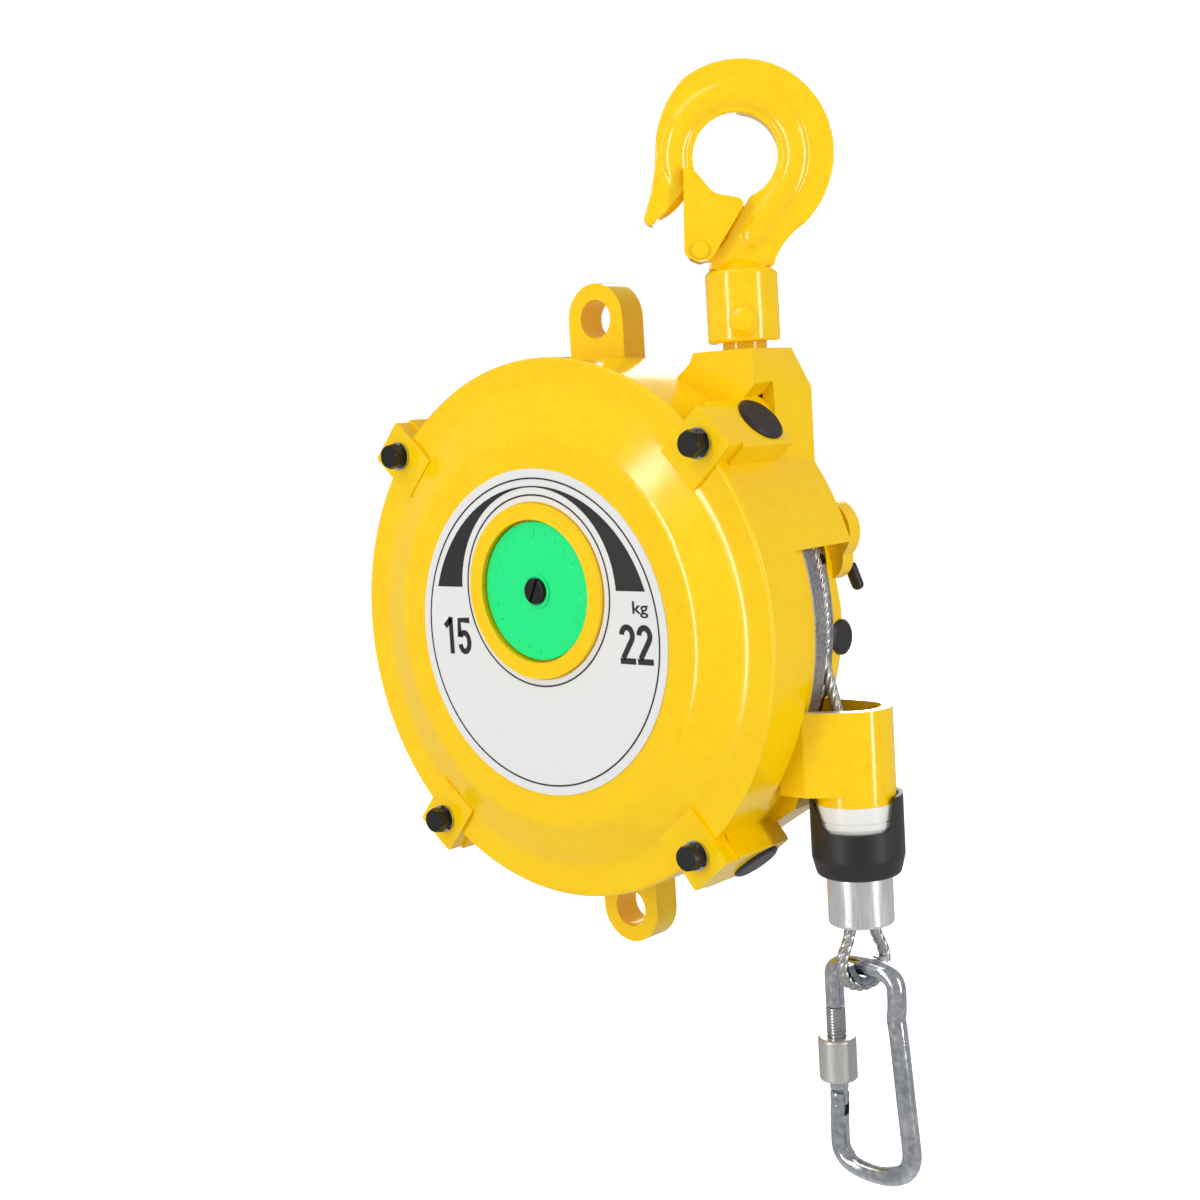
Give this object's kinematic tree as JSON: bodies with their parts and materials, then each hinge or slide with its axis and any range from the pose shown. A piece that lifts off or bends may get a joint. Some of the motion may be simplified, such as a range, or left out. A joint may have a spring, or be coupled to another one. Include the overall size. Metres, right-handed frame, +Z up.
{
  "type": "tool balancer",
  "caption": "Spring tool balancer: round yellow casing with a top swivel hook and latch, and a steel rope wound on a sprung drum that ends in a buffer, clamp, thimble and snap hook.",
  "frame": {"origin": "bearing point at the top of the suspension hook's bowl, where the whole part hangs", "axes": "+Z up along the swivel axis, +X towards the rope's side of the casing, -Y towards the front cover"},
  "size_m": [0.2624, 0.099, 0.4651],
  "materials": {
    "yellow_casting": "gloss yellow enamel on an aluminium casting",
    "yellow_steel": "gloss enamel on forged and pressed steel",
    "label": "printed plastic plate",
    "black_bolt": "black oxide steel",
    "zinc": "bright zinc plate",
    "bright_steel": "turned steel",
    "black_rubber": "moulded black rubber",
    "bronze": "sintered bronze",
    "black_plastic": "black polyamide",
    "disc_green": "green moulded plastic",
    "aluminium_cast": "grey die casting",
    "rope_steel": "galvanised wire strand",
    "spring_steel": "blued spring strip",
    "white_resin": "white acetal",
    "clamp_alu": "bright ferrule metal"
  },
  "bodies": {
    "hook": {"top_hook": "yellow_steel", "hook_collar": "yellow_steel", "collar_rivet": "yellow_steel", "swivel_stud": "yellow_steel", "latch_rivet": "yellow_steel", "latch_spring": "spring_steel", "thrust_washer": "bright_steel", "stud_nut": "zinc"},
    "latch": {"hook_latch": "yellow_steel"},
    "casing": {"main_case": "yellow_casting", "front_cover": "yellow_casting", "label_plate": "label", "cover_bolts": "black_bolt", "plain_washers": "zinc", "spring_washers": "black_bolt", "side_plugs": "black_rubber", "rear_plug": "black_rubber", "front_bush": "bronze", "rear_bush": "bronze", "worm_bushes": "bronze", "swivel_bush": "bronze", "rope_guide": "white_resin", "rope_lead": "rope_steel"},
    "lock": {"lock_pin": "zinc", "lock_pin_grip": "black_plastic"},
    "shaft": {"main_shaft": "bright_steel", "worm_wheel": "bronze"},
    "dial": {"indicator_disc": "disc_green", "disc_screw": "black_bolt", "dial_spindle": "bright_steel"},
    "worm": {"adjusting_worm": "bright_steel"},
    "drum": {"rope_drum": "aluminium_cast", "rope_on_drum": "rope_steel", "spring_lid": "zinc", "power_spring": "spring_steel", "drum_bushes": "bronze"},
    "load_end": {"rubber_buffer": "black_rubber", "rope_clamp": "clamp_alu", "rope_eye": "rope_steel", "thimble": "zinc", "rope_run": "rope_steel"},
    "snap": {"snap_hook": "zinc", "gate_rivet": "bright_steel"},
    "gate": {"snap_gate": "zinc"},
    "sleeve": {"lock_sleeve": "zinc"}
  },
  "joints": [
    {"name": "hook_swivel", "type": "hinge", "parent": "hook", "child": "casing", "pos_m": [0, 0, 0], "axis": [0, 0, 1], "continuous": true},
    {"name": "latch_open", "type": "hinge", "parent": "hook", "child": "latch", "pos_m": [-0.01311, -0.00918, -0.0543], "axis": [-0.5736, 0.8192, 0], "range_deg": [0, 36], "stiffness_Nm_per_rad": 0.05, "springref_deg": -57.3},
    {"name": "drum_turn", "type": "hinge", "parent": "casing", "child": "drum", "pos_m": [-0.075, 0, -0.209], "axis": [0, 1, 0], "range_deg": [0, 870], "stiffness_Nm_per_rad": 0.2, "springref_deg": -4297.18},
    {"name": "cable_pull", "type": "slide", "parent": "casing", "child": "load_end", "axis": [0, 0, -1], "range_m": [0, 1.5002], "deforming": ["rope_run"]},
    {"name": "shaft_turn", "type": "hinge", "parent": "casing", "child": "shaft", "pos_m": [-0.075, 0, -0.209], "axis": [0, 1, 0], "range_deg": [0, 540]},
    {"name": "worm_turn", "type": "hinge", "parent": "casing", "child": "worm", "pos_m": [-0.075, -0.0335, -0.246], "axis": [1, 0, 0], "range_deg": [0, 25920]},
    {"name": "dial_turn", "type": "hinge", "parent": "casing", "child": "dial", "pos_m": [-0.075, -0.04, -0.191], "axis": [0, 1, 0], "range_deg": [-270, 0]},
    {"name": "lock_slide", "type": "slide", "parent": "casing", "child": "lock", "axis": [0, -1, 0], "range_m": [0, 0.0034]},
    {"name": "snap_swing", "type": "hinge", "parent": "load_end", "child": "snap", "pos_m": [0.044, 0, -0.3506], "axis": [1, 0, 0], "range_deg": [-60, 60]},
    {"name": "gate_open", "type": "hinge", "parent": "snap", "child": "gate", "pos_m": [0.029, 0, -0.411], "axis": [0, 1, 0], "range_deg": [0, 24], "stiffness_Nm_per_rad": 0.05, "springref_deg": -57.3},
    {"name": "sleeve_travel", "type": "slide", "parent": "gate", "child": "sleeve", "axis": [0, 0, 1], "range_m": [0, 0.013]}
  ],
  "couplings": [
    {"joint": "cable_pull", "follows": "drum_turn", "m_per_rad": 0.0988},
    {"joint": "worm_turn", "follows": "shaft_turn", "ratio": 48},
    {"joint": "dial_turn", "follows": "shaft_turn", "ratio": -0.5}
  ]
}
